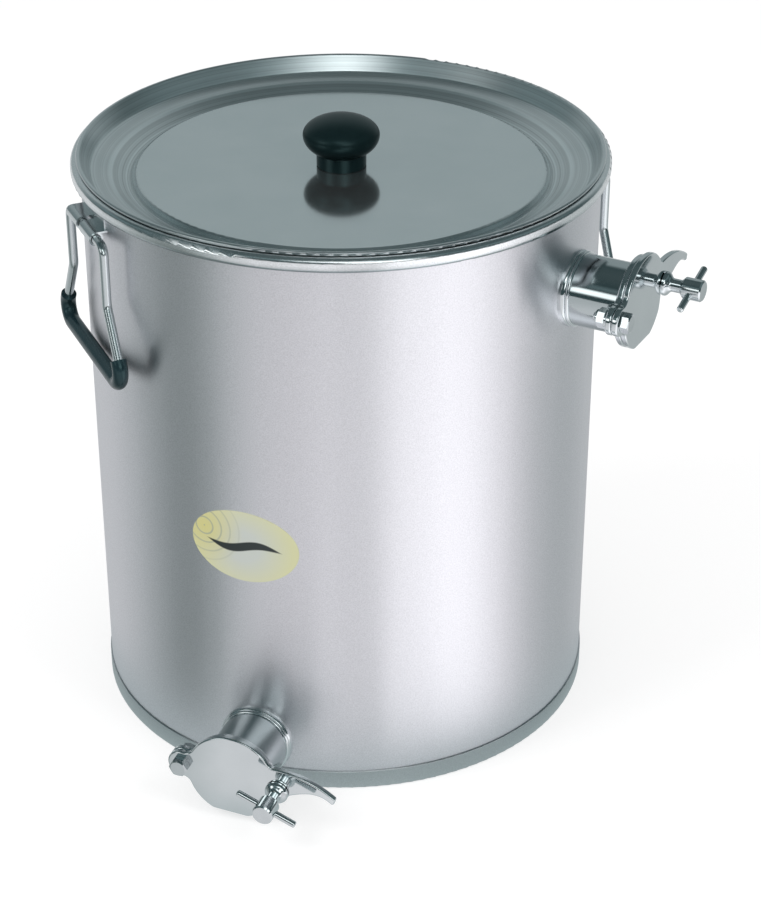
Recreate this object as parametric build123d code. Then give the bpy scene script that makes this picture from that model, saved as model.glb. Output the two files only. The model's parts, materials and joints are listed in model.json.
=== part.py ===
"""Stainless honey bucket with a plug-in lid, two drop handles and two spout gates, in millimetres.

The bucket stands on z = 0 with its axis on Z. The lower gate faces -Y and the upper gate sits
near +X, just under the rim. Every gate and handle is drawn in its own upright frame, with x to
the right and y up as seen from outside the bucket and z outward from the bucket's axis.
"""

import os
from math import acos, asin, atan2, cos, degrees, hypot, radians, sin, sqrt

from build123d import *

# Bucket: the wall's outside radius, its sheet, and the bead at the rim, which is taller than wide.
# The curl of the bead stops this many degrees below level, just short of the wall.
wall_radius = 150.0
rim_height = 344.6
sheet = 0.8
bead_radius = 3.1
bead_height = 8.5
curl_end = 70.0

# Base pan: height of the skirt outside the wall, height of the raised floor, the foot ring, the bends
# and the rounding of the skirt's top edge.
skirt_height = 12.0
floor_height = 4.8
foot_width = 8.0
floor_bend = 2.0
foot_bend = 1.2
skirt_lip = 0.45

# Lid: rolled edge, depth of its pressed well below the rim, the raised middle panel and the bends.
lid_roll_radius = 1.3
lid_roll_mouth = 30.0
lid_well_depth = 8.0
lid_ledge_width = 10.5
lid_ledge_fall = 2.0
lid_trough_depth = 15.4
lid_well_inset = 4.6
lid_panel_inset = 31.2
lid_panel_rise = 4.0
lid_trough_width = 3.5
lid_panel_bend = 1.5
lid_ledge_bend = 4.0
lid_well_bend = 2.5

# Knob on the lid, with the screw and the washer that hold it from below.
knob_radius = 22.2
knob_edge_height = 18.6
knob_dome = 11.0
knob_fullness = 0.55
knob_underside = 14.0
knob_neck_radius = 14.4
knob_foot_radius = 13.9
knob_foot_height = 0.5
knob_screw_depth = 14.0
knob_screw_radius = 3.0
knob_screw_room = 1.0
knob_screw_head_radius = 5.5
knob_screw_head_height = 4.0
knob_screw_head_round = 1.6
knob_screw_socket = 2.3
knob_washer_radius = 9.0

# Oval label on the wall.
label_width = 66.0
label_height = 45.0
label_thickness = 0.2
label_angle = -91.9
label_z = 161.0

# Spout gates: where they sit, the tube and its collar, the fixed plate and the blade.
lower_gate_height = 29.5
upper_gate_drop = 55.6
gate_angles = {"lower": -90.0, "upper": -8.8}
gate_rolls = {"lower": 0.0, "upper": 3.3}
bar_tilts = {"lower": -21.9, "upper": 13.7}
bore_radius = 19.5
tube_wall = 1.0
collar_width = 1.6
collar_reach = 4.6
collar_groove = 2.3
collar_waist = 0.5
collar_bead = 1.2
gate_reach = 33.8
plate_thickness = 3.7
plate_ring = 5.8
plate_edge = 1.1
blade_thickness = 3.7
blade_lap = 6.8
blade_edge = 1.1
blade_shift = (0.5, 0.8)
blade_flat = 0.92
flat_tilt = -3.0
flat_round = 5.0
ear_blend = 6.0
tail_blend = 3.5
pivot_offset = 7.1
pivot_rise = 3.1
pivot_ear_radius = 8.4
clamp_offset = 1.6
clamp_drop = 1.6
clamp_ear_width = 4.6
tail_length = 37.7
tail_rise = 3.0
tail_width = 17.5
tail_tip = 1.4

# Outline of the blade's tail: shares of its length out from the disc's edge and of its width down
# from its crest.
tail_crest = (-0.16, -0.08)
tail_back = (0.45, 0.05)
tail_end_top = (0.98, 0.63)
tail_end_low = (0.94, 0.9)
tail_hollow = (0.6, 0.62)
tail_belly = (0.3, 0.8)
tail_root = (-0.21, 1.12)

# M6 hardware of the gates.
thread_radius = 3.0
thread_chamfer = 0.8
thread_end = 1.2
hex_flats = 10.0
hex_chamfer = 0.7
head_height = 5.0
washer_radius = 6.2
washer_thickness = 1.6
nut_height = 5.0
lock_collar_height = 1.4
lock_collar_radius = 4.3

# T-screw that clamps the blade.
clamp_flange_radius = 7.0
clamp_flange_edge = 0.9
clamp_neck_radius = 3.9
clamp_flare = 5.0
clamp_flare_lean = 0.15
clamp_head_radius = 6.25
clamp_head_length = 12.5
clamp_head_taper = 1.6
clamp_head_edge = 0.8
clamp_head_lift = 10.5
bar_radius = 2.0
bar_length = 38.0
bar_place = 0.46

# Handles: where they sit, the strap with its knuckles, the wire bail and the grip sleeve.
handle_angles = {"left": -137.0, "right": 39.6}
hinge_drops = {"left": 21.2, "right": 27.3}
bail_shifts = {"left": 3.4, "right": 1.6}
bail_slide = 4.0
strap = 1.0
strap_reach = 8.0
flange_height = 7.0
flange_inset = 2.0
knuckle_play = 0.3
knuckle_gap = 5.0
wire_end = 1.0
wire_radius = 2.7
grip_radius = 4.5
leg_half_width = 31.0
leg_length = 34.9
bar_half_width = 56.0
bail_drop = 76.9
top_bend = 5.0
kink_bend = 8.0
corner_bend = 9.0
grip_straight = 2.3

# Clearances: running fits, faces that slide past each other, and pieces that merely pass. The
# T-screw is drawn half a turn loose, so that the blade can swing, with room round it in the notch.
running_fit = 0.06
slide_gap = 0.12
free_gap = 0.3
grip_gap = 0.7
clamp_gap = 0.5
notch_gap = 1.4
notch_room = 2.5

# How far a cutter stands out of a piece that it goes through, and the least step between faces.
through = 1.0
step = 0.01

# Levels and radii that follow from the sizes above.
inner_radius = wall_radius - sheet
bead_center_r = inner_radius + bead_radius
bead_center_z = rim_height - bead_radius
bead_low_z = rim_height - bead_height + bead_radius
tube_radius = bore_radius + tube_wall
collar_radius = tube_radius + collar_width
plate_front = wall_radius + gate_reach + plate_thickness
plate_back = plate_front - plate_thickness
blade_back = plate_front + slide_gap
blade_front = blade_back + blade_thickness
plate_radius = tube_radius + plate_ring
blade_radius = tube_radius + blade_lap
pivot_x = -(tube_radius + thread_radius + pivot_offset)
pivot_y = pivot_rise
clamp_x = blade_radius + clamp_offset
clamp_y = -clamp_drop
hinge_r = wall_radius + grip_radius + grip_gap
gate_heights = {"lower": lower_gate_height, "upper": rim_height - upper_gate_drop}
hole_depth = 2 * bore_radius


def revolved(face):
    """A full turn about the bucket's axis of a face drawn with x as radius and y as height."""
    return revolve(Plane.XZ * face, Axis.Z)


def pressed(points, bends, thickness):
    """The section of a pressed sheet that follows points, with one bend radius per inner corner."""
    line = FilletPolyline(*points, radius=bends)
    return make_face(offset(line, amount=thickness, side=Side.LEFT))


def upright(angle, z):
    """The frame at an angle round the bucket: x to the right, y up and z outward."""
    a = radians(angle)
    return Plane(origin=(0, 0, z), x_dir=(-sin(a), cos(a), 0), z_dir=(cos(a), sin(a), 0))


def drum(radius):
    """A cylinder round the bucket's axis, drawn in an upright frame and longer than the bucket."""
    return Rot(90, 0, 0) * Cylinder(radius, 2 * rim_height)


def slab(face, low, high):
    """A face of an upright frame made into a plate between two distances from the axis."""
    return extrude(Pos(0, 0, low) * face, high - low)


def hexagon(flats, height, chamfered):
    """A hexagon from z = 0 up, its corners turned off at the top."""
    corner = flats / sqrt(3)
    prism = extrude(RegularPolygon(corner, 6), height)
    turned = Pos(0, 0, height / 2) * Cylinder(corner + step, height)
    turned = chamfer(turned.edges().sort_by(Axis.Z)[-1], chamfered, 2 * chamfered)
    return prism & turned


parts = {}

# The wall and its bead are one sheet: straight up, then rolled outward until it nearly closes.
wall_bottom = sheet
wall_section = Pos((inner_radius + wall_radius) / 2, (wall_bottom + bead_center_z) / 2) * Rectangle(
    sheet, bead_center_z - wall_bottom
)
bead = SlotOverall(bead_height, 2 * bead_radius, rotation=90)
bead -= SlotOverall(bead_height - 2 * sheet, 2 * (bead_radius - sheet), rotation=90)
bead = Pos(bead_center_r, rim_height - bead_height / 2) * bead
reach = 2 * bead_radius
mouth = Polygon(
    (0, 0),
    (-reach, 0),
    (-reach, -reach),
    (-reach * cos(radians(curl_end)), -reach * sin(radians(curl_end))),
    align=None,
)
bucket_wall = revolved(wall_section + (bead - Pos(bead_center_r, bead_low_z) * mouth))
for side, angle in gate_angles.items():
    hole = Pos(0, 0, wall_radius) * Cylinder(tube_radius, hole_depth)
    bucket_wall -= upright(angle, gate_heights[side]) * hole
parts["bucket_wall"] = bucket_wall

# The base pan runs from its raised floor down to the foot ring and up outside the wall.
foot_outer = wall_radius + sheet
foot_inner = foot_outer - foot_width
slope = floor_height - sheet
base_section = pressed(
    [
        (0, floor_height - sheet),
        (foot_inner - slope, floor_height - sheet),
        (foot_inner, 0),
        (foot_outer, 0),
        (foot_outer, skirt_height),
    ],
    [floor_bend, foot_bend, sheet],
    sheet,
)
top_outside = base_section.vertices().sort_by(Axis.Y)[-2:].sort_by(Axis.X)[-1]
base_pan = revolved(fillet(top_outside, min(skirt_lip, 0.7 * sheet)))
for side, angle in gate_angles.items():
    passing = Pos(0, 0, wall_radius) * Cylinder(collar_radius + free_gap, hole_depth)
    base_pan -= upright(angle, gate_heights[side]) * (passing - drum(wall_radius - step))
parts["base_pan"] = base_pan

# The label is a thin oval skin on the wall.
label_half = wall_radius * sin(label_width / 2 / wall_radius)
oval = slab(Ellipse(label_half, label_height / 2), 0, 2 * wall_radius)
skin = drum(wall_radius + label_thickness) - drum(wall_radius)
parts["label"] = upright(label_angle, label_z) * (oval & skin)

# The lid hangs by its rolled edge on the bead and dips into the bucket.
roll_sum = bead_radius + lid_roll_radius + free_gap
roll_r = bead_center_r - lid_roll_radius - free_gap
roll_z = bead_center_z + sqrt(roll_sum**2 - (bead_center_r - roll_r) ** 2)
roll_inside = lid_roll_radius - sheet
well_r = inner_radius - lid_well_inset
well_z = rim_height - lid_well_depth
panel_r = inner_radius - lid_panel_inset
trough_r = panel_r + lid_trough_width
trough_z = rim_height - lid_trough_depth
ledge_r = well_r - lid_ledge_width
ledge_z = well_z - lid_ledge_fall
panel_z = trough_z + lid_panel_rise
lean = atan2(roll_z - well_z, roll_r - well_r)
lean += asin(roll_inside / hypot(roll_z - well_z, roll_r - well_r))
leave_r = roll_r - roll_inside * sin(lean)
leave_z = roll_z + roll_inside * cos(lean)
lid_section = pressed(
    [
        (0, panel_z),
        (panel_r, panel_z),
        (trough_r, trough_z),
        (ledge_r, ledge_z),
        (well_r, well_z),
        (leave_r, leave_z),
    ],
    [lid_panel_bend, lid_panel_bend, lid_ledge_bend, lid_well_bend],
    sheet,
)
roll = Circle(lid_roll_radius) - Circle(lid_roll_radius - sheet)
reach = 3 * lid_roll_radius
mouth_lean = lean + radians(lid_roll_mouth)
open_side = Polygon(
    (0, 0),
    (-reach * cos(mouth_lean), -reach * sin(mouth_lean)),
    (-1.2 * reach, 0),
    (-reach * sin(lean), reach * cos(lean)),
    align=None,
)
lid_pan = revolved(lid_section + Pos(roll_r, roll_z) * (roll - open_side))
panel_top = panel_z + sheet
screw_hole = knob_screw_radius + free_gap
lid_pan -= Pos(0, 0, panel_top) * Cylinder(screw_hole, 4 * sheet)
parts["lid_pan"] = lid_pan

# The knob stands on the raised panel.
meeting = degrees(acos(knob_neck_radius / knob_radius))
underside = EllipticalCenterArc(
    (0, knob_edge_height), knob_radius, knob_underside, -meeting, arc_size=meeting
)
knob_top = knob_edge_height + knob_dome
dome = Bezier(
    (knob_radius, knob_edge_height),
    (knob_radius, knob_edge_height + knob_fullness * knob_dome),
    (knob_fullness * knob_radius, knob_top),
    (0, knob_top),
)
neck_line = Polyline(
    (0, knob_top),
    (0, 0),
    (knob_foot_radius, 0),
    (knob_foot_radius, knob_foot_height),
    (knob_neck_radius, knob_foot_height),
    underside @ 0,
)
knob = revolved(make_face([neck_line, underside, dome]))
knob -= Pos(0, 0, knob_screw_depth / 2) * Cylinder(knob_screw_radius, knob_screw_depth)
parts["lid_knob"] = Pos(0, 0, panel_top) * knob

under = panel_top - sheet
washer = Cylinder(knob_washer_radius, washer_thickness) - Cylinder(screw_hole, washer_thickness)
parts["lid_knob_washer"] = Pos(0, 0, under - washer_thickness / 2) * washer
head_z = under - washer_thickness
screw_head = Pos(0, 0, head_z - knob_screw_head_height / 2)
screw_head *= Cylinder(knob_screw_head_radius, knob_screw_head_height)
screw_head = fillet(screw_head.edges().sort_by(Axis.Z)[0], knob_screw_head_round)
socket = extrude(RegularPolygon(knob_screw_socket, 6), knob_screw_head_height / 2)
socket = Pos(0, 0, head_z - knob_screw_head_height) * socket
shank_length = panel_top - head_z + knob_screw_depth - knob_screw_room
shank = Pos(0, 0, head_z + shank_length / 2) * Cylinder(knob_screw_radius, shank_length)
parts["lid_knob_screw"] = screw_head + shank - socket


def blade_outline():
    """The shutter: a disc flat at the bottom, an ear round the pivot and a tail to lift it by."""
    below = Pos(0, -blade_radius * (1 + blade_flat)) * Rectangle(4 * blade_radius, 2 * blade_radius)
    disc = Pos(*blade_shift) * (Circle(blade_radius) - Rot(0, 0, flat_tilt) * below)
    ear = Pos(pivot_x, pivot_y) * Circle(pivot_ear_radius)
    crest_y = tail_width / 2 + tail_rise

    def on_tail(share):
        return blade_radius + share[0] * tail_length, crest_y - share[1] * tail_width

    tail = make_face(
        [
            Line((0, 0), on_tail(tail_crest)),
            ThreePointArc(on_tail(tail_crest), on_tail(tail_back), on_tail(tail_end_top)),
            Line(on_tail(tail_end_top), on_tail(tail_end_low)),
            Spline(on_tail(tail_end_low), on_tail(tail_hollow), on_tail(tail_belly), on_tail(tail_root)),
            Line(on_tail(tail_root), (0, 0)),
        ]
    )
    tail = fillet(tail.vertices().sort_by(Axis.X)[-2:], tail_tip)
    outline = disc + ear + tail
    near_edge = 0.8 * blade_radius
    outline = fillet([v for v in outline.vertices() if v.X < -near_edge], ear_blend)
    outline = fillet([v for v in outline.vertices() if v.Y < -near_edge], flat_round)
    near_root = [v for v in outline.vertices() if 0.86 * blade_radius < v.X < 0.98 * blade_radius]
    return fillet([v for v in near_root if abs(v.Y) < 0.6 * blade_radius], tail_blend)


def plate_outline():
    """The fixed plate: a disc round the tube with an ear for the pivot and one for the clamp."""
    disc = Circle(plate_radius)
    pivot_ear = Pos(pivot_x, pivot_y) * Circle(pivot_ear_radius)
    clamp_ear = Pos(clamp_x, clamp_y) * Circle(thread_radius + clamp_ear_width)
    outline = disc + pivot_ear + clamp_ear
    return fillet([v for v in outline.vertices() if v.X < clamp_x], ear_blend)


def gate(side, angle, z, roll, tilt):
    """All the pieces of one spout gate."""
    made = {}
    tube = slab(Circle(tube_radius) - Circle(bore_radius), wall_radius - tube_radius, plate_front)
    made["spout_tube"] = tube - drum(inner_radius)

    waist = (tube_radius + collar_waist, wall_radius + collar_groove)
    bead_top = (tube_radius + collar_bead, wall_radius + (collar_groove + collar_reach) / 2)
    collar_end = (tube_radius, wall_radius + collar_reach)
    flare_end = (collar_radius, wall_radius)
    deep = wall_radius - tube_radius
    flare = collar_width - collar_waist
    collar_section = make_face(
        [
            Polyline(collar_end, (tube_radius, deep), (collar_radius, deep), flare_end),
            EllipticalCenterArc((waist[0], wall_radius), flare, collar_groove, 0, arc_size=90),
            ThreePointArc(waist, bead_top, collar_end),
        ]
    )
    made["spout_collar"] = revolve(Plane.XZ * collar_section, Axis.Z) - drum(wall_radius)

    pivot = Pos(pivot_x, pivot_y)
    clamp = Pos(clamp_x, clamp_y)
    holes = Circle(tube_radius) + pivot * Circle(thread_radius + free_gap)
    holes += clamp * Circle(thread_radius + free_gap)
    plate = slab(plate_outline(), plate_back, plate_front)
    levels = plate.edges().group_by(Axis.Z)
    plate = fillet(levels[0] + levels[-1], min(plate_edge, 0.4 * plate_thickness))
    made["gate_plate"] = plate - slab(holes, plate_back - through, plate_front + through)

    blade = slab(blade_outline(), blade_back, blade_front)
    levels = blade.edges().group_by(Axis.Z)
    blade = fillet(levels[0] + levels[-1], min(blade_edge, 0.4 * blade_thickness, 0.8 * tail_tip))
    turn = hypot(clamp_x - pivot_x, clamp_y - pivot_y)
    half_notch = thread_radius + notch_gap
    path = Circle(turn + half_notch) - Circle(turn - half_notch)
    away = degrees(atan2(clamp_y - pivot_y, clamp_x - pivot_x) + notch_room / turn)
    way_out = path & Pos(turn, -turn) * Rectangle(2 * turn, 2 * turn)
    notch = pivot * Rot(0, 0, away) * (way_out + Pos(turn, 0) * Circle(half_notch))
    bearing = pivot * Circle(thread_radius + running_fit)
    made["gate_blade"] = blade - slab(notch + bearing, blade_back - through, blade_front + through)

    bolt_head = Pos(0, 0, blade_front + slide_gap) * hexagon(hex_flats, head_height, hex_chamfer)
    nut_back = plate_back - washer_thickness - nut_height - lock_collar_height
    shank_end = nut_back - thread_end
    shank = slab(Circle(thread_radius), shank_end, blade_front + slide_gap)
    shank = chamfer(shank.edges().sort_by(Axis.Z)[0], thread_chamfer)
    made["pivot_bolt"] = pivot * (bolt_head + shank)

    ring = Circle(washer_radius) - Circle(thread_radius + free_gap)
    made["pivot_washer"] = pivot * slab(ring, plate_back - washer_thickness, plate_back)

    facing = Pos(0, 0, plate_back - washer_thickness) * Rot(180, 0, 0)
    lock_nut = hexagon(hex_flats, nut_height, hex_chamfer)
    lock_ring = Cylinder(lock_collar_radius, lock_collar_height)
    lock_ring = Pos(0, 0, nut_height + lock_collar_height / 2) * lock_ring
    lock_ring = fillet(lock_ring.edges().sort_by(Axis.Z)[-1], lock_collar_height * 0.6)
    bore = Cylinder(thread_radius, 6 * nut_height)
    made["pivot_nut"] = pivot * facing * (lock_nut + lock_ring - bore)

    weld_nut = hexagon(hex_flats, nut_height, hex_chamfer)
    thread = Cylinder(thread_radius + running_fit, 6 * nut_height)
    made["clamp_nut"] = clamp * Pos(0, 0, plate_back) * Rot(180, 0, 0) * (weld_nut - thread)

    seat = blade_front + clamp_gap
    lift = clamp_head_lift
    top = lift + clamp_head_length
    screw_end = plate_back - nut_height - thread_end - seat
    half_section = make_face(
        [
            Polyline(
                (0, screw_end),
                (thread_radius - thread_chamfer, screw_end),
                (thread_radius, screw_end + thread_chamfer),
                (thread_radius, 0),
                (clamp_flange_radius, 0),
                (clamp_flange_radius, clamp_flange_edge),
            ),
            Spline(
                (clamp_flange_radius, clamp_flange_edge),
                (clamp_neck_radius, clamp_flare),
                tangents=[(-clamp_flare_lean, 1), (-clamp_flare_lean, 1)],
            ),
            Polyline(
                (clamp_neck_radius, clamp_flare),
                (clamp_neck_radius, lift),
                (clamp_head_radius - clamp_head_taper, lift),
                (clamp_head_radius, lift + clamp_head_taper),
                (clamp_head_radius, top - clamp_head_edge),
                (clamp_head_radius - clamp_head_edge, top),
                (0, top),
                (0, screw_end),
            ),
        ]
    )
    screw = Pos(0, 0, seat) * revolve(Plane.XZ * half_section, Axis.Z)
    bar_z = seat + lift + bar_place * clamp_head_length
    across = clamp * Pos(0, 0, bar_z) * Rot(0, 0, tilt) * Rot(0, 90, 0)
    made["clamp_screw"] = clamp * screw - across * Cylinder(bar_radius, 4 * clamp_head_radius)
    bar = Cylinder(bar_radius, bar_length)
    bar = fillet(bar.edges().filter_by(GeomType.CIRCLE), bar_radius * 0.6)
    made["clamp_bar"] = across * bar

    frame = upright(angle, z)
    for name, shape in made.items():
        rolled = shape if name.startswith("spout") else Rot(0, 0, roll) * shape
        parts[side + "_" + name] = frame * rolled


for side, angle in gate_angles.items():
    gate(side, angle, gate_heights[side], gate_rolls[side], bar_tilts[side])


def bail_points(shift):
    """The corners of the bail's centre line, from one wire end round to the other."""
    end = knuckle_gap / 2 - wire_end
    left = shift - leg_half_width
    right = shift + leg_half_width
    return [
        (-end, 0),
        (left, 0),
        (left, -leg_length),
        (shift - bar_half_width, -bail_drop),
        (shift + bar_half_width, -bail_drop),
        (right, -leg_length),
        (right, 0),
        (end, 0),
    ]


def handle(side, angle, hinge_z, shift):
    """The bracket, the bail and the grip of one handle."""
    points = [(x, y, hinge_r) for x, y in bail_points(shift)]
    bends = [top_bend, kink_bend, corner_bend, corner_bend, kink_bend, top_bend]
    line = FilletPolyline(*points, radius=bends)
    start = Plane(origin=line @ 0, z_dir=line % 0)
    bail = sweep(start * Circle(wire_radius), path=line)

    kink_a, corner_a, corner_b, kink_b = [Vector(*p) for p in points[2:6]]
    flare = (corner_a - kink_a).normalized()
    bend_length = corner_bend * sqrt((1 - flare.X) / (1 + flare.X))
    grip_leg = bend_length + grip_straight
    grip_line = FilletPolyline(
        corner_a - flare * grip_leg,
        corner_a,
        corner_b,
        corner_b + (kink_b - corner_b).normalized() * grip_leg,
        radius=corner_bend,
    )
    grip_face = Plane(origin=grip_line @ 0, z_dir=grip_line % 0)
    grip = sweep(grip_face * (Circle(grip_radius) - Circle(wire_radius)), path=grip_line)

    knuckle_end = leg_half_width - bail_slide - top_bend - free_gap
    knuckle_bore = wire_radius + knuckle_play
    knuckle_radius = knuckle_bore + strap
    loop = Circle(knuckle_radius)
    web_length = hinge_r - wall_radius + strap_reach
    web = Pos(-web_length / 2, knuckle_radius - strap / 2) * Rectangle(web_length, strap)
    section = Pos(hinge_r, 0) * (loop + web - Circle(knuckle_bore))
    side_on = Plane(origin=(0, 0, 0), x_dir=(0, 0, 1), z_dir=(-1, 0, 0))
    rolled = extrude(side_on * section, knuckle_end, both=True)
    flange_z = knuckle_radius - strap + flange_height / 2
    flange = drum(wall_radius + strap) - drum(wall_radius - strap)
    flange_width = 2 * (knuckle_end - flange_inset)
    flange &= Pos(0, flange_z, wall_radius) * Box(flange_width, flange_height, wall_radius)
    gap_depth = 2 * (hinge_r - wall_radius - strap)
    middle = Pos(0, 0, hinge_r) * Box(knuckle_gap, 4 * knuckle_radius, gap_depth)
    bracket = rolled - middle + flange - drum(wall_radius)

    frame = upright(angle, hinge_z)
    parts[side + "_handle_bracket"] = frame * bracket
    parts[side + "_handle_bail"] = frame * bail
    parts[side + "_handle_grip"] = frame * grip


for side, angle in handle_angles.items():
    handle(side, angle, rim_height - hinge_drops[side], bail_shifts[side])

os.makedirs("parts", exist_ok=True)
for name, shape in parts.items():
    export_step(shape, f"parts/{name}.step")
    size = shape.bounding_box().size
    print(name, round(size.X, 1), round(size.Y, 1), round(size.Z, 1))
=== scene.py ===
# %% [markdown]
# A stainless honey bucket: a rolled wall on a pressed base, a plug-in lid with a black knob, two drop
# handles and two honey gates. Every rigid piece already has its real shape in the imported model, so
# this lesson is about finishes: how one metal can look satin, bright or mirror polished.

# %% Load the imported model
import json
import math

import bpy
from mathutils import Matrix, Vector


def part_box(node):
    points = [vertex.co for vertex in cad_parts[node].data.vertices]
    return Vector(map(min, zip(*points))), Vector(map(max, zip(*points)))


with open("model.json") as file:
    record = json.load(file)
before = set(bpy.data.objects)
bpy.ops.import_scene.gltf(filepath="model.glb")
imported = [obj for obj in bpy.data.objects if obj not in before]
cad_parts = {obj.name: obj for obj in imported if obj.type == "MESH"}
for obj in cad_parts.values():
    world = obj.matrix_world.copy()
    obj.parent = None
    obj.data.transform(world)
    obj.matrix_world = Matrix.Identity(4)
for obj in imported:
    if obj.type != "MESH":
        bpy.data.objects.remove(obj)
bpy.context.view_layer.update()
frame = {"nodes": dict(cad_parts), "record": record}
nodes = frame["nodes"]
print("pieces from the packed model:", len(nodes))

# %% [markdown]
# Pressed and turned steel is smooth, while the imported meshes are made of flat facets. Subdividing them
# would round the true corners too. Shading them smooth by angle keeps those crisp and lets curved faces
# reflect in one sweep. Rolled sheet has tight curls of few facets, so it gets a wider angle and normals
# weighted by the size of each face. No vertex changes, so the pieces stay where the model puts them.

# %% Smooth the curved faces
CREASE_ANGLE = math.radians(32)
ROLLED_CREASE = math.radians(80)
ROLLED = ("bucket_wall", "base_pan", "lid_pan")


def shade_by_angle(node, crease):
    """Smooth shading up to the crease angle, sharp beyond it."""
    node.data.shade_smooth()
    node.data.set_sharp_from_angle(angle=crease)


for name, node in nodes.items():
    shade_by_angle(node, ROLLED_CREASE if name in ROLLED else CREASE_ANGLE)
    if name in ROLLED:
        even = node.modifiers.new("even_shading", "WEIGHTED_NORMAL")
        even.keep_sharp = True
print("faces in all:", sum(len(node.data.polygons) for node in nodes.values()))

# %% [markdown]
# Every finish starts from the same little set of nodes: one Principled shader, the piece's own
# coordinates in metres, and helpers that add a noise or a bump. A picture wrapped round a piece would
# need an unwrapped mesh. Object coordinates need none and travel with a piece when it moves, so grain
# never slides over the metal.

# %% Helpers for finishes
def new_finish(name):
    """A material with one Principled shader; returns it with its node tree and the shader."""
    material = bpy.data.materials.new(name)
    material.use_nodes = True
    tree = material.node_tree
    shader = tree.nodes["Principled BSDF"]
    return material, tree, shader


def piece_coordinates(tree, stretch=(1, 1, 1), heading=0.0):
    """The piece's own coordinates in metres, with x turned to a heading, then stretched."""
    place = tree.nodes.new("ShaderNodeTexCoord")
    turned = tree.nodes.new("ShaderNodeVectorRotate")
    turned.rotation_type = "Z_AXIS"
    turned.inputs["Angle"].default_value = -heading
    mapping = tree.nodes.new("ShaderNodeMapping")
    mapping.inputs["Scale"].default_value = stretch
    tree.links.new(place.outputs["Object"], turned.inputs["Vector"])
    tree.links.new(turned.outputs["Vector"], mapping.inputs["Vector"])
    return mapping.outputs["Vector"]


def axes(tree, vector):
    """The x, y and z of a vector."""
    node = tree.nodes.new("ShaderNodeSeparateXYZ")
    tree.links.new(vector, node.inputs["Vector"])
    return node.outputs["X"], node.outputs["Y"], node.outputs["Z"]


def length_of(tree, vector):
    """Length of a vector."""
    node = tree.nodes.new("ShaderNodeVectorMath")
    node.operation = "LENGTH"
    tree.links.new(vector, node.inputs[0])
    return node.outputs["Value"]


def noise(tree, coordinates, scale, detail=3.0, roughness=0.55):
    """A cloud of the given number of blotches to the metre."""
    node = tree.nodes.new("ShaderNodeTexNoise")
    node.inputs["Scale"].default_value = scale
    node.inputs["Detail"].default_value = detail
    node.inputs["Roughness"].default_value = roughness
    tree.links.new(coordinates, node.inputs["Vector"])
    return node.outputs["Fac"]


def spread(tree, value, low, high, dark=0.3, light=0.7):
    """Maps a stretch of values, by default the useful middle of a noise, onto a range."""
    node = tree.nodes.new("ShaderNodeMapRange")
    node.inputs["From Min"].default_value = dark
    node.inputs["From Max"].default_value = light
    node.inputs["To Min"].default_value = low
    node.inputs["To Max"].default_value = high
    tree.links.new(value, node.inputs["Value"])
    return node.outputs["Result"]


def compute(tree, operation, first, second=0.0):
    """One step of arithmetic on sockets or plain numbers."""
    node = tree.nodes.new("ShaderNodeMath")
    node.operation = operation
    for entry, value in zip(node.inputs, (first, second)):
        if isinstance(value, (int, float)):
            entry.default_value = value
        else:
            tree.links.new(value, entry)
    return node.outputs["Value"]


def blend_colours(tree, factor, first, second):
    """Mixes two colours, sockets or plain ones, by a factor from 0 to 1."""
    node = tree.nodes.new("ShaderNodeMix")
    node.data_type = "RGBA"
    tree.links.new(factor, node.inputs["Factor"])
    for name, colour in (("A", first), ("B", second)):
        if isinstance(colour, tuple):
            node.inputs[name].default_value = (*colour, 1)
        else:
            tree.links.new(colour, node.inputs[name])
    return node.outputs["Result"]


def shaded(tree, colour, factor):
    """A colour made lighter or darker by a factor."""
    node = tree.nodes.new("ShaderNodeVectorMath")
    node.operation = "SCALE"
    tree.links.new(colour, node.inputs["Vector"])
    tree.links.new(factor, node.inputs["Scale"])
    return node.outputs["Vector"]


def colour_ramp(tree, value, stops):
    """A row of colours along a value from 0 to 1."""
    node = tree.nodes.new("ShaderNodeValToRGB")
    row = node.color_ramp.elements
    while len(row) < len(stops):
        row.new(0.5)
    for element, (position, colour) in zip(row, stops):
        element.position = position
        element.color = (*colour, 1)
    tree.links.new(value, node.inputs["Fac"])
    return node


def bump(tree, shader, height, depth):
    """Raises the surface by a height pattern, depth in metres."""
    node = tree.nodes.new("ShaderNodeBump")
    node.inputs["Distance"].default_value = depth
    tree.links.new(height, node.inputs["Height"])
    tree.links.new(node.outputs["Normal"], shader.inputs["Normal"])


# %% [markdown]
# Bare steel is the colour of what it mirrors. Its base colour stays pale, and the finishes differ mostly
# in roughness: bright gates, hardware that has been through a press, satin handle wire, and spout tubes
# whose grain runs along them, because they were drawn through a die. One function makes them all. The
# grain is only a trace, because a strong bump would look like leather.

# %% Steel finishes
def steel(name, pale, dark, rough, grain_scale, grain_depth, stretch=(1, 1, 1), heading=0.0):
    """Bare steel: two close shades, a band of roughness and a fine grain that may run one way."""
    material, tree, shader = new_finish(name)
    place = piece_coordinates(tree, stretch, heading)
    cloud = noise(tree, place, grain_scale * 0.04)
    grain = noise(tree, place, grain_scale, detail=2.0)
    shader.inputs["Metallic"].default_value = 1.0
    tree.links.new(blend_colours(tree, spread(tree, cloud, 0, 1), dark, pale), shader.inputs["Base Color"])
    tree.links.new(spread(tree, grain, *rough), shader.inputs["Roughness"])
    bump(tree, shader, grain, grain_depth)
    return material


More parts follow.
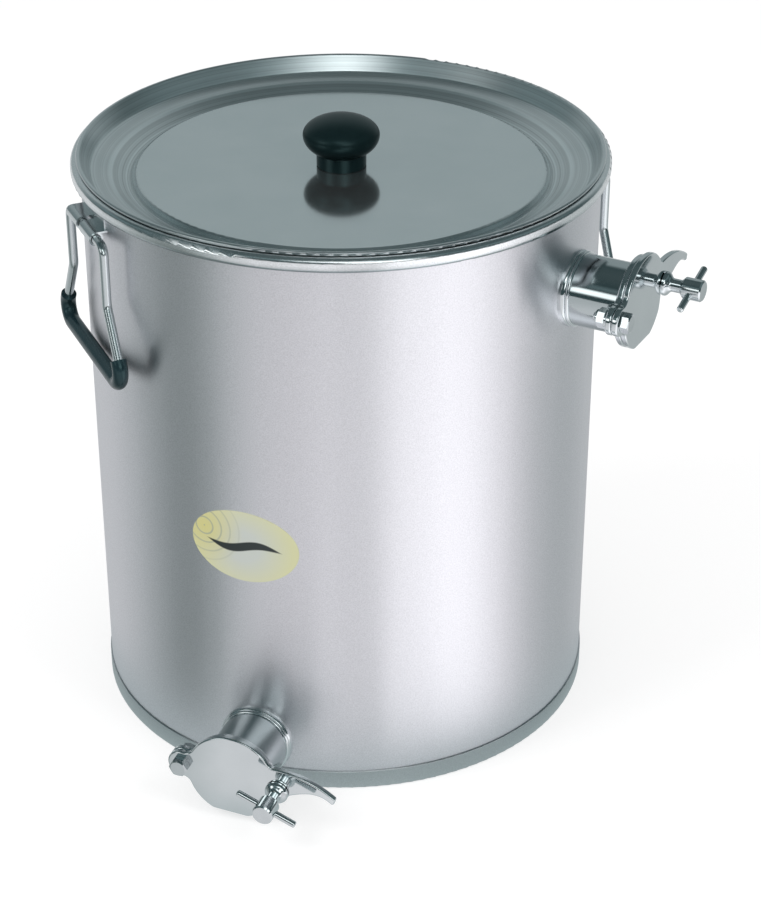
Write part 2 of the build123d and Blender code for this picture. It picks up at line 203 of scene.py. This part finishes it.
polished_steel = steel(
    "polished_steel", (0.70, 0.74, 0.75), (0.65, 0.69, 0.70), (0.05, 0.09), 900, 0.000001
)
fastener_steel = steel(
    "fastener_steel", (0.66, 0.70, 0.71), (0.58, 0.62, 0.63), (0.08, 0.16), 1500, 0.000002
)
handle_steel = steel(
    "handle_steel", (0.62, 0.67, 0.68), (0.60, 0.65, 0.66), (0.19, 0.22), 1200, 0.0000002
)
LOWER_SPOUT_HEADING = math.radians(-90)
UPPER_SPOUT_HEADING = math.radians(-8.8)
DRAWN_TUBE = ((0.56, 0.61, 0.62), (0.50, 0.55, 0.56), (0.06, 0.12), 1600, 0.000002, (0.03, 1, 1))
lower_spout_steel = steel("lower_spout_steel", *DRAWN_TUBE, LOWER_SPOUT_HEADING)
upper_spout_steel = steel("upper_spout_steel", *DRAWN_TUBE, UPPER_SPOUT_HEADING)
print("steel finishes:", [m.name for m in bpy.data.materials if m.name.endswith("steel")])

# %% [markdown]
# The lid is deep drawn. Its flat panel keeps the mill's polish under a trace of haze, and from the
# panel's edge outwards the press has dulled the sheet and drawn faint rings in it. Two materials would
# leave a hard line between them, so one material changes with the distance from the middle.

# %% Lid steel
LID_PANEL_RADIUS = 0.117
LID_PANEL_EDGE = 0.004
LID_OUTER_ROUGH = 0.28
LID_METALLIC = 0.97
RING_SHADES = (0.72, 1.12)
RINGS_TO_METRE = 700


def draw_outside(material, radius, width, outer_rough):
    """Dulls a round piece from a radius outwards, where pressing has drawn faint rings in the sheet."""
    tree = material.node_tree
    shader = tree.nodes["Principled BSDF"]
    inner_rough = shader.inputs["Roughness"].links[0].from_socket
    inner_colour = shader.inputs["Base Color"].links[0].from_socket
    reach = length_of(tree, piece_coordinates(tree, (1, 1, 0)))
    drawn = spread(tree, reach, 0, 1, radius, radius + width)
    dulled = tree.nodes.new("ShaderNodeMix")
    tree.links.new(drawn, dulled.inputs["Factor"])
    tree.links.new(inner_rough, dulled.inputs["A"])
    dulled.inputs["B"].default_value = outer_rough
    tree.links.new(dulled.outputs["Result"], shader.inputs["Roughness"])
    section = tree.nodes.new("ShaderNodeCombineXYZ")
    tree.links.new(reach, section.inputs["X"])
    tree.links.new(axes(tree, piece_coordinates(tree))[2], section.inputs["Y"])
    rings = spread(tree, noise(tree, section.outputs["Vector"], RINGS_TO_METRE, detail=2.0), *RING_SHADES)
    ringed = blend_colours(tree, drawn, inner_colour, shaded(tree, inner_colour, rings))
    tree.links.new(ringed, shader.inputs["Base Color"])


lid_steel = steel("lid_steel", (0.74, 0.79, 0.80), (0.70, 0.76, 0.77), (0.09, 0.13), 700, 0.000001)
draw_outside(lid_steel, LID_PANEL_RADIUS, LID_PANEL_EDGE, LID_OUTER_ROUGH)
lid_steel.node_tree.nodes["Principled BSDF"].inputs["Metallic"].default_value = LID_METALLIC
print("lid steel is dull outside a radius of", LID_PANEL_RADIUS, "m")

# %% [markdown]
# The wall is satin sheet, brushed, so it mirrors its surroundings as soft upright bands. The sheet is curled
# into the bead at the top, and the skirt of the base is pressed round it at the bottom. A colour ramp over
# the
# height gives one material its tones: darker on the skirt, darkest at its top edge, and a dark band of
# painted shade along the underside of the bead. Small dents from the curling tool mottle the bead.

# %% Satin sheet
BEAD_BOTTOM = 0.336
BEAD_EDGE = 0.002
SKIRT_TOP = 0.0122
SHEET_TOP = 0.36
SHEET_TONES_AND_SHADE = [
    (0.0, (0.64, 0.68, 0.69)),
    # The skirt of the base: darker, darkest just under its top edge.
    (SKIRT_TOP - 0.0060, (0.56, 0.60, 0.61)),
    (SKIRT_TOP - 0.0004, (0.50, 0.54, 0.55)),
    (SKIRT_TOP, (0.78, 0.78, 0.81)),
    (BEAD_BOTTOM - 0.0004, (0.80, 0.80, 0.83)),
    # From here to the next stop, a dark band of painted shade along the underside of the bead.
    (BEAD_BOTTOM + 0.0004, (0.26, 0.32, 0.33)),
    (BEAD_BOTTOM + 0.0016, (0.30, 0.36, 0.37)),
    (BEAD_BOTTOM + 0.0034, (0.82, 0.85, 0.86)),
    (SHEET_TOP, (0.84, 0.86, 0.87)),
]
SPECKLE = (0.89, 1.07)
WALL_ROUGH = 0.37
BEAD_ROUGH = 0.2
BRUSHING = 0.72
DENT_DEPTH = 0.00002


def satin_sheet():
    """Satin sheet with painted shade under the bead and a darker skirt."""
    material, tree, shader = new_finish("satin_steel")
    place = piece_coordinates(tree)
    height = axes(tree, place)[2]
    share = spread(tree, height, 0, 1, 0.0, SHEET_TOP)
    tones = colour_ramp(tree, share, [(z / SHEET_TOP, colour) for z, colour in SHEET_TONES_AND_SHADE])
    speckle = spread(tree, noise(tree, place, 1500, detail=2.0), *SPECKLE)
    on_bead = spread(tree, height, 0, 1, BEAD_BOTTOM, BEAD_BOTTOM + BEAD_EDGE)
    dents = noise(tree, piece_coordinates(tree, (1, 1, 1.4)), 170, detail=1.0)
    around = tree.nodes.new("ShaderNodeTangent")
    around.direction_type = "RADIAL"
    around.axis = "Z"
    shader.inputs["Metallic"].default_value = 1.0
    shader.inputs["Anisotropic"].default_value = BRUSHING
    shader.inputs["Anisotropic Rotation"].default_value = 0.25
    tree.links.new(around.outputs["Tangent"], shader.inputs["Tangent"])
    tree.links.new(shaded(tree, tones.outputs["Color"], speckle), shader.inputs["Base Color"])
    tree.links.new(spread(tree, on_bead, WALL_ROUGH, BEAD_ROUGH, 0, 1), shader.inputs["Roughness"])
    bump(tree, shader, compute(tree, "MULTIPLY", on_bead, dents), DENT_DEPTH)
    return material


satin_steel = satin_sheet()
print("satin sheet with", len(SHEET_TONES_AND_SHADE), "tones over its height")

# %% [markdown]
# The knob is moulded in black plastic with a dull skin, and the grip is a slick vinyl sleeve. Both are
# dark, so what shows is the gloss, which leans to green: wide and soft on the knob, a tight streak on
# the sleeve. One function serves both, with a roughness of its own for each.

# %% Plastic finishes
GLOSS_TINT = (0.60, 0.98, 1.0)


def plastic(name, colour, lighter, rough, gloss, grain_scale, grain_depth):
    """Moulded plastic: a dark colour with faint clouding and a fine skin."""
    material, tree, shader = new_finish(name)
    place = piece_coordinates(tree)
    cloud = noise(tree, place, grain_scale * 0.1)
    skin = noise(tree, place, grain_scale)
    clouded = blend_colours(tree, spread(tree, cloud, 0, 1), colour, lighter)
    tree.links.new(clouded, shader.inputs["Base Color"])
    tree.links.new(spread(tree, skin, *rough), shader.inputs["Roughness"])
    bump(tree, shader, skin, grain_depth)
    shader.inputs["Specular IOR Level"].default_value = gloss
    shader.inputs["Specular Tint"].default_value = (*GLOSS_TINT, 1)
    return material


knob_plastic = plastic(
    "knob_plastic", (0.003, 0.009, 0.010), (0.004, 0.011, 0.012), (0.32, 0.38), 0.4, 1800, 0.000002
)
grip_plastic = plastic(
    "grip_plastic", (0.010, 0.024, 0.030), (0.012, 0.027, 0.033), (0.22, 0.26), 0.5, 900, 0.000001
)
print("plastic finishes:", knob_plastic.name, grip_plastic.name)

# %% [markdown]
# The label is an oval sticker of pale paper with a cream rim and honey yellow at the left. Drops seem to
# have fallen at that end: thin ripples run out from there, and a dark wave crosses the middle. All of it
# is drawn from the place of a point on the oval, so it needs no picture.

# %% Label
label_low, label_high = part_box("label")
label_centre = (label_low + label_high) / 2
label_half = (label_high - label_low) / 2
PAPER = (0.66, 0.70, 0.65)
CREAM = (0.76, 0.76, 0.46)
HONEY = (0.74, 0.70, 0.30)
RIPPLE = (0.42, 0.46, 0.36)
WAVE = (0.02, 0.03, 0.03)
DROP_PLACE = (-0.75, 0.35)
RIPPLE_STEP = 0.17
RIPPLE_WIDTH = 0.02
WAVE_TURN = 5.0
WAVE_SWELL = 0.09
WAVE_HALF_WIDTH = 0.14
WAVE_TAPER = 0.26
OVAL_FLATNESS = 0.7


def oval_place(tree):
    """A point's place on the oval: -1 to 1 across its width and up its height."""
    place = tree.nodes.new("ShaderNodeTexCoord")
    mapping = tree.nodes.new("ShaderNodeMapping")
    mapping.vector_type = "TEXTURE"
    mapping.inputs["Location"].default_value = (label_centre.x, 0, label_centre.z)
    mapping.inputs["Scale"].default_value = (label_half.x, 1, label_half.z)
    tree.links.new(place.outputs["Object"], mapping.inputs["Vector"])
    across, _, up = axes(tree, mapping.outputs["Vector"])
    return across, up


def distance_from(tree, across, up, point):
    """Distance on the oval from a point."""
    side = compute(tree, "SUBTRACT", across, point[0])
    rise = compute(tree, "MULTIPLY", compute(tree, "SUBTRACT", up, point[1]), OVAL_FLATNESS)
    squares = compute(tree, "ADD", compute(tree, "POWER", side, 2.0), compute(tree, "POWER", rise, 2.0))
    return compute(tree, "SQRT", squares)


def label_print():
    """The sticker: pale paper with a cream rim, honey yellow at the left, ripples and a dark wave."""
    material, tree, shader = new_finish("label_print")
    across, up = oval_place(tree)
    drop = distance_from(tree, across, up, DROP_PLACE)
    rim = spread(tree, distance_from(tree, across, up, (0, 0)), 0, 1, 0.3, 0.9)
    pale = blend_colours(tree, rim, PAPER, CREAM)
    paper_tone = blend_colours(tree, spread(tree, drop, 1, 0, 0.05, 0.75), pale, HONEY)
    phase = compute(tree, "PINGPONG", drop, RIPPLE_STEP / 2)
    line = spread(tree, phase, 1, 0, RIPPLE_WIDTH * 0.5, RIPPLE_WIDTH)
    fade = spread(tree, drop, 0.8, 0, 0.25, 0.85)
    ripples = blend_colours(tree, compute(tree, "MULTIPLY", line, fade), paper_tone, RIPPLE)
    turn = compute(tree, "SINE", compute(tree, "MULTIPLY", across, WAVE_TURN))
    off = compute(tree, "SUBTRACT", up, compute(tree, "MULTIPLY", turn, WAVE_SWELL))
    outward = compute(tree, "POWER", compute(tree, "ABSOLUTE", across), 2.0)
    width = compute(tree, "SUBTRACT", WAVE_HALF_WIDTH, compute(tree, "MULTIPLY", outward, WAVE_TAPER))
    inside = compute(tree, "SUBTRACT", width, compute(tree, "ABSOLUTE", off))
    waved = blend_colours(tree, spread(tree, inside, 0, 1, 0.0, 0.03), ripples, WAVE)
    tree.links.new(waved, shader.inputs["Base Color"])
    paper = noise(tree, piece_coordinates(tree), 1200)
    tree.links.new(spread(tree, paper, 0.32, 0.42), shader.inputs["Roughness"])
    bump(tree, shader, paper, 0.000004)
    return material


label_finish = label_print()
print("label in metres:", [round(2 * side, 4) for side in label_half])

# %% [markdown]
# Each node of the model belongs to one finish. A list of names typed here could miss a piece. The record
# names a slot for every node, so the finish is found from that slot. Only the two spout tubes differ,
# because the grain of each runs along its own tube.

# %% Dress every node
finishes = {
    "satin_steel": satin_steel,
    "lid_steel": lid_steel,
    "polished_steel": polished_steel,
    "fastener_steel": fastener_steel,
    "handle_steel": handle_steel,
    "knob_plastic": knob_plastic,
    "grip_plastic": grip_plastic,
    "label_paper": label_finish,
}
drawn_tubes = {"lower_spout_tube": lower_spout_steel, "upper_spout_tube": upper_spout_steel}
for entry in frame["record"]["subparts"]:
    node = nodes[entry["node"]]
    node.data.materials.clear()
    node.data.materials.append(drawn_tubes.get(entry["node"], finishes[entry["material_slot"]]))

# %% [markdown]
# Metal shows what stands around it, so the studio matters as much as the finish. The floor is white to
# the eye and keeps the shadow of the bucket. In reflections it has soft grey bands round the bucket, as
# cards laid beside it would give. Real cards would show in the picture, so the bands are for reflected
# rays only. Each band is placed by the spot on the wall that mirrors it to the camera's side.

# %% Floor
FLOOR_SIZE = 14.0
FLOOR_DROP = 0.0001
FLOOR_GREY = 0.45
FLOOR_GLOW = 0.62
WHITE_FROM = (0.7, 1.6)
WALL_RADIUS = 0.15
CAMERA_BEARING = math.radians(20.5)
LIGHT_CARD = (0.85, (0.985, 0.975, 1.0))
DARK_CARD = (0.28, (0.896, 1.02, 1.016))
# Painted shadow: close to the wall, reflections show the floor in this even darker tone in place of the
# bucket's contact shadow.
NEAR_FLOOR_SHADOW = (0.49, 0.555, 0.565)
NEAR_SHADOW_BAND = (0.022, 0.085)
# Brightness of each strip, by the place on the wall where it starts: degrees to the right of the camera.
STRIPS = [
    (-90, 0.70),
    (-65, 0.72),
    (-54, 0.58),
    (-46, 0.38),
    (-40, 0.26),
    (-35, 0.27),
    (-30, 0.42),
    (-24, 0.68),
    (-18, 0.82),
    (-9, 0.87),
    (-4, 0.97),
    (1, 0.85),
    (7, 0.84),
    (10, 1.18),
    (16, 1.32),
    (25, 1.56),
    (30, 1.48),
    (35, 1.26),
    (40, 1.02),
    (46, 0.72),
    (55, 0.56),
    (62, 0.54),
    (72, 0.64),
    (90, 0.70),
]


def light_ray(tree, *kinds):
    """1 where the ray is of one of these kinds, else 0."""
    path = tree.nodes.new("ShaderNodeLightPath")
    total = path.outputs[kinds[0]]
    for kind in kinds[1:]:
        total = compute(tree, "MAXIMUM", total, path.outputs[kind])
    return total


def glow(tree, colour, strength=1.0):
    """Light of one colour, a socket or a plain one."""
    node = tree.nodes.new("ShaderNodeEmission")
    node.inputs["Strength"].default_value = strength
    if isinstance(colour, tuple):
        node.inputs["Color"].default_value = (*colour, 1)
    else:
        tree.links.new(colour, node.inputs["Color"])
    return node.outputs["Emission"]


def blend_shaders(tree, factor, first, second):
    """The first shader where the factor is 0, the second where it is 1."""
    node = tree.nodes.new("ShaderNodeMixShader")
    tree.links.new(factor, node.inputs["Fac"])
    tree.links.new(first, node.inputs[1])
    tree.links.new(second, node.inputs[2])
    return node.outputs["Shader"]


def card_colour(level):
    """Grey of a strip: dark cards lean to green, light ones are neutral."""
    (high, light), (low, dark) = LIGHT_CARD, DARK_CARD
    share = min(max((level - low) / (high - low), 0), 1)
    return [level * (share * a + (1 - share) * b) for a, b in zip(light, dark)]


def strip_place(tree):
    """Where the strip under a point starts on the wall, in radians from the camera's bearing, and how
    far along the strip the point lies, in metres."""
    across, behind, _ = axes(tree, piece_coordinates(tree, heading=CAMERA_BEARING))
    forward = compute(tree, "MULTIPLY", behind, -1.0)
    angle = compute(tree, "ARCTAN2", across, forward)
    squares = compute(tree, "ADD", compute(tree, "POWER", across, 2.0), compute(tree, "POWER", forward, 2.0))
    reach = compute(tree, "SQRT", squares)
    near = compute(tree, "MINIMUM", compute(tree, "DIVIDE", WALL_RADIUS, reach), 1.0)
    guess = compute(tree, "DIVIDE", angle, compute(tree, "SUBTRACT", 2.0, near))
    bounce = compute(tree, "ARCSINE", compute(tree, "MULTIPLY", near, compute(tree, "SINE", guess)))
    start = compute(tree, "MULTIPLY", compute(tree, "ADD", angle, bounce), 0.5)
    facing = compute(tree, "COSINE", compute(tree, "SUBTRACT", angle, start))
    shadow = compute(tree, "MULTIPLY", compute(tree, "MULTIPLY", reach, facing), 2 * WALL_RADIUS)
    run = compute(tree, "SUBTRACT", compute(tree, "ADD", squares, WALL_RADIUS**2), shadow)
    return start, compute(tree, "SQRT", compute(tree, "MAXIMUM", run, 0.0))


def strip_colours(tree):
    """The banded grey of the floor in reflections, with one even tone of painted shadow close to the wall.
    """
    stops = [((start + 90) / 180, card_colour(level)) for start, level in STRIPS]
    start, run = strip_place(tree)
    ramp = colour_ramp(tree, spread(tree, start, 0, 1, -math.pi / 2, math.pi / 2), stops)
    ramp.color_ramp.interpolation = "EASE"
    away = tree.nodes.new("ShaderNodeMapRange")
    away.interpolation_type = "SMOOTHSTEP"
    away.inputs["From Min"].default_value = NEAR_SHADOW_BAND[0]
    away.inputs["From Max"].default_value = NEAR_SHADOW_BAND[1]
    tree.links.new(run, away.inputs["Value"])
    return blend_colours(tree, away.outputs["Result"], NEAR_FLOOR_SHADOW, ramp.outputs["Color"])


def floor_finish():
    """White with a faint shadow to the eye, pure white further off, banded grey in reflections."""
    material, tree, shader = new_finish("studio_floor")
    shader.inputs["Base Color"].default_value = (FLOOR_GREY, FLOOR_GREY, FLOOR_GREY, 1)
    shader.inputs["Roughness"].default_value = 1.0
    shader.inputs["Specular IOR Level"].default_value = 0.0
    paint = shader.outputs["BSDF"]
    lit = tree.nodes.new("ShaderNodeAddShader")
    tree.links.new(paint, lit.inputs[0])
    tree.links.new(glow(tree, (1, 1, 1), FLOOR_GLOW), lit.inputs[1])
    far = spread(tree, length_of(tree, piece_coordinates(tree)), 0, 1, *WHITE_FROM)
    seen = blend_shaders(tree, far, lit.outputs["Shader"], glow(tree, (1, 1, 1)))
    plain = blend_shaders(tree, light_ray(tree, "Is Camera Ray"), paint, seen)
    shiny = light_ray(tree, "Is Glossy Ray", "Is Transmission Ray")
    whole = blend_shaders(tree, shiny, plain, glow(tree, strip_colours(tree)))
    tree.links.new(whole, tree.nodes["Material Output"].inputs["Surface"])
    return material


half = FLOOR_SIZE / 2
floor_mesh = bpy.data.meshes.new("studio_floor")
corners = [(-half, -half, 0), (half, -half, 0), (half, half, 0), (-half, half, 0)]
floor_mesh.from_pydata(corners, [], [(0, 1, 2, 3)])
floor = bpy.data.objects.new("studio_floor", floor_mesh)
floor.location.z = -FLOOR_DROP
bpy.context.scene.collection.objects.link(floor)
floor_mesh.materials.append(floor_finish())
print("floor strips in reflections:", len(STRIPS))

# %% [markdown]
# The air does three jobs. It lights plastic and paper evenly, it is white to the eye, and in
# reflections it is a studio: dim green-grey all round, a grey wall behind the bucket that the flat lid
# shows, and panels. Two bright boxes either side of the camera draw the thin lights on bead, tubes and
# wire. A light above the camera and a few dim cards shape the far side of the lid. Panels built as
# meshes would show in some view, so they are painted into the air by bearing and height.

# %% Air
SKY_LEVEL = 0.75
ROUND_ABOUT = [
    (0.0, (0.05, 0.08, 0.085)),
    (0.75, (0.05, 0.08, 0.085)),
    (1.0, (0.08, 0.11, 0.115)),
]
BEHIND_BUCKET = [
    (0.0, (0.30, 0.35, 0.36)),
    (0.30, (0.32, 0.37, 0.38)),
    (0.50, (0.34, 0.39, 0.40)),
    (0.70, (0.33, 0.38, 0.39)),
    (0.82, (0.05, 0.08, 0.085)),
    (0.92, (0.05, 0.08, 0.085)),
    (0.97, (0.22, 0.26, 0.27)),
    (1.0, (0.08, 0.11, 0.115)),
]
BEHIND_FROM = (-0.75, -0.45)
# Each panel: bearings from and to, in degrees right of the camera, how soft its sides are, heights
# from and to as sines, how soft its top and bottom are, and its level.
PANELS = {
    "right box": (2, 30, 5, 0.20, 0.50, 0.05, 2.2),
    "left box": (-72, -46, 6, 0.22, 0.45, 0.04, 2.2),
    "far left card": (-130, -84, 8, 0.20, 0.50, 0.06, 0.20),
    "card above the left box": (-80, -34, 10, 0.54, 0.68, 0.05, 0.20),
    "far right card": (48, 110, 12, 0.34, 0.62, 0.06, 0.19),
    "haze above the camera": (-34, 40, 20, 0.56, 0.72, 0.06, 0.45),
    "light above the camera": (-15, 10, 14, 0.58, 0.72, 0.06, 3.4),
}
BRIGHT_TINT = (0.97, 1.0, 1.0)
DIM_TINT = (0.72, 1.0, 1.05)


def along(tree, vector, direction):
    """How far a vector reaches in a direction."""
    node = tree.nodes.new("ShaderNodeVectorMath")
    node.operation = "DOT_PRODUCT"
    node.inputs[1].default_value = direction
    tree.links.new(vector, node.inputs[0])
    return node.outputs["Value"]


def window(tree, value, low, high, soft):
    """1 between two values and 0 beyond them, with soft ends."""
    rise = spread(tree, value, 0, 1, low - soft, low + soft)
    fall = spread(tree, value, 1, 0, high - soft, high + soft)
    return compute(tree, "MULTIPLY", rise, fall)


def studio_room(tree):
    """What reflections show of the air: a dim room, a grey wall behind the bucket and the panels."""
    sight = tree.nodes.new("ShaderNodeTexCoord").outputs["Generated"]
    lift = axes(tree, sight)[2]
    ahead = (math.sin(CAMERA_BEARING), -math.cos(CAMERA_BEARING), 0)
    to_right = (math.cos(CAMERA_BEARING), math.sin(CAMERA_BEARING), 0)
    forward = along(tree, sight, ahead)
    sideways = along(tree, sight, to_right)
    turn = compute(tree, "DEGREES", compute(tree, "ARCTAN2", sideways, forward))
    room = colour_ramp(tree, lift, ROUND_ABOUT).outputs["Color"]
    grey_wall = colour_ramp(tree, lift, BEHIND_BUCKET).outputs["Color"]
    room = blend_colours(tree, spread(tree, forward, 1, 0, *BEHIND_FROM), room, grey_wall)
    for left, right, side_soft, low, high, edge_soft, level in PANELS.values():
        across = window(tree, turn, left, right, side_soft)
        upward = window(tree, lift, low, high, edge_soft)
        colour = tuple(level * part for part in (BRIGHT_TINT if level > 1 else DIM_TINT))
        room = blend_colours(tree, compute(tree, "MULTIPLY", across, upward), room, colour)
    return room


def studio_air():
    """Even light for the object, white to the eye, a dim studio with bright panels in reflections."""
    world = bpy.data.worlds.new("studio_air")
    bpy.context.scene.world = world
    world.use_nodes = True
    tree = world.node_tree
    shiny = light_ray(tree, "Is Glossy Ray", "Is Transmission Ray")
    lit = blend_colours(tree, shiny, (SKY_LEVEL, SKY_LEVEL, SKY_LEVEL), studio_room(tree))
    seen = blend_colours(tree, light_ray(tree, "Is Camera Ray"), lit, (1, 1, 1))
    tree.links.new(seen, tree.nodes["Background"].inputs["Color"])


studio_air()
print("air:", bpy.context.scene.world.name, "with", len(PANELS), "panels")

# %% [markdown]
# Two soft lamps model the plastic, the paper and the shadow. Metal would mirror them as hard white
# squares, so they are hidden from glossy rays, and the panels in the air stand in for them there.

# %% Lamps
def softbox(name, place, aim, width, height, power):
    """A large soft lamp that points at a spot."""
    data = bpy.data.lights.new(name, "AREA")
    data.shape = "RECTANGLE"
    data.size = width
    data.size_y = height
    data.energy = power
    lamp = bpy.data.objects.new(name, data)
    lamp.location = place
    lamp.rotation_euler = (Vector(aim) - Vector(place)).to_track_quat("-Z", "Y").to_euler()
    lamp.visible_glossy = False
    bpy.context.scene.collection.objects.link(lamp)
    return lamp


middle = (0, 0, 0.2)
softbox("key_softbox", (-1.4, -1.5, 2.2), middle, 1.2, 1.2, 26)
softbox("fill_softbox", (1.8, -0.6, 1.8), middle, 1.0, 1.4, 14)
bpy.context.scene.view_settings.view_transform = "Standard"
print("lamps:", [lamp.name for lamp in bpy.data.lights])

# %% [markdown]
# The camera stands where the photograph was taken from: a little to the right of the lower gate and
# well above the lid. Its place could be found by eye. Here it comes from the outline of the bucket, whose
# two round ends give the height and the distance.

# %% Camera
CAMERA_DISTANCE = 1.2501
CAMERA_HEIGHT = 0.84705
CAMERA_TURN = math.radians(1.032)
CAMERA_DIP = math.radians(29.331)
CAMERA_SENSOR = 36.0
CAMERA_LENS = 92.864
camera_data = bpy.data.cameras.new("photo_camera")
camera_data.sensor_width = CAMERA_SENSOR
camera_data.lens = CAMERA_LENS
camera = bpy.data.objects.new("photo_camera", camera_data)
camera.location = (
    CAMERA_DISTANCE * math.sin(CAMERA_BEARING),
    -CAMERA_DISTANCE * math.cos(CAMERA_BEARING),
    CAMERA_HEIGHT,
)
camera.rotation_euler = (math.pi / 2 - CAMERA_DIP, 0, CAMERA_BEARING - CAMERA_TURN)
bpy.context.scene.collection.objects.link(camera)
bpy.context.scene.camera = camera
print("camera at:", [round(part, 3) for part in camera.location])
